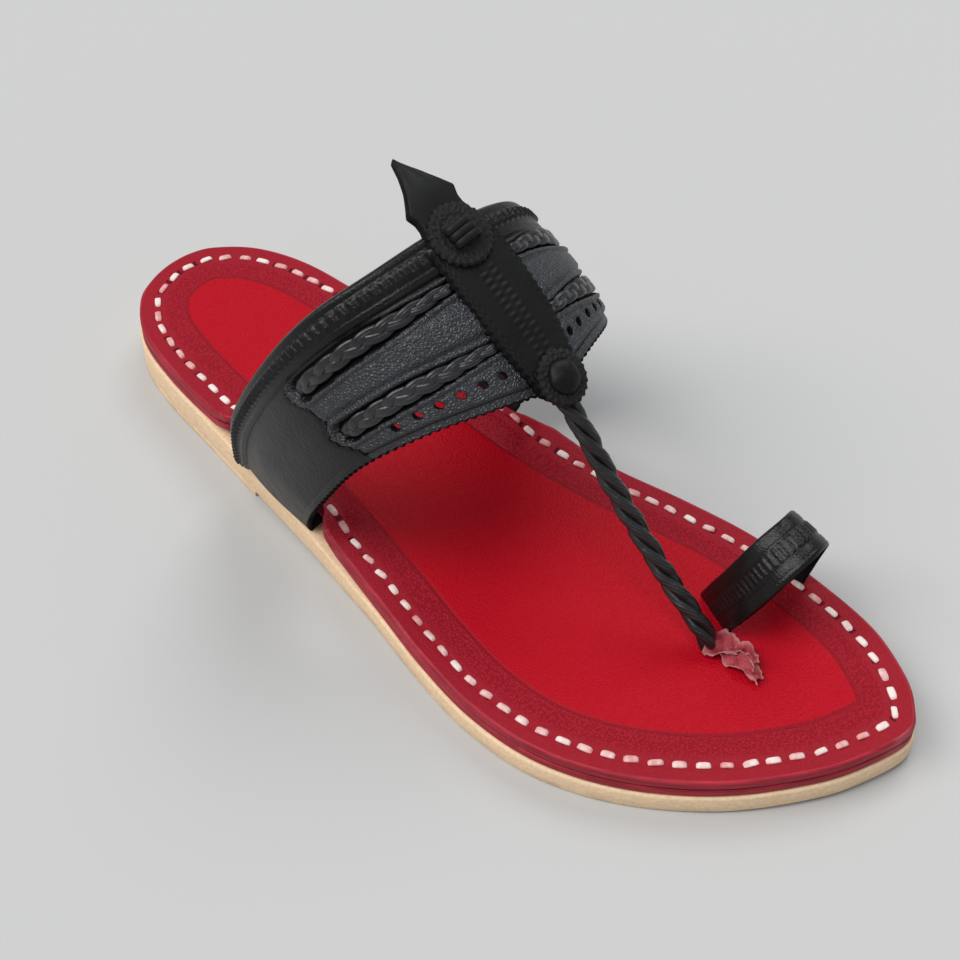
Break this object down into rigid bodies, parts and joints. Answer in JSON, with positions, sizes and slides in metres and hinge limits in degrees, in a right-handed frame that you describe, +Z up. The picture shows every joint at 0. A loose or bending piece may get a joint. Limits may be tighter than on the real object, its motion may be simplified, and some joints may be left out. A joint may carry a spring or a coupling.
{
  "type": "kolhapuri sandal",
  "caption": "Right-foot kolhapuri sandal with a red leather footbed, a black arched band with braided strips, a leaf spine, a rope strap and a toe ring.",
  "frame": {"origin": "on the floor under the middle of the heel", "axes": "+Y to the toe, +X to the wearer's right, which is the outer side, +Z up"},
  "size_m": [0.0958, 0.2525, 0.1092],
  "materials": {
    "tan_sole": "matt tan sheet sole with a cut edge",
    "dark_red_leather": "dark red dyed edge, satin",
    "red_leather": "bright red grained leather, satin, stamped border",
    "black_leather": "black leather, soft sheen, grained panels",
    "raw_leather": "raw pinkish red lace end, matt"
  },
  "bodies": {
    "root": {"outsole": "tan_sole", "heel_piece": "tan_sole", "midsole": "dark_red_leather", "insole": "red_leather", "upper": "black_leather", "braid_outer_1": "black_leather", "braid_outer_2": "black_leather", "braid_inner_1": "black_leather", "braid_inner_2": "black_leather", "rosette_rear": "black_leather", "rosette_loop": "black_leather", "rosette_front": "black_leather", "rosette_button": "black_leather", "toe_ring": "black_leather", "lace_end": "raw_leather"}
  },
  "joints": []
}
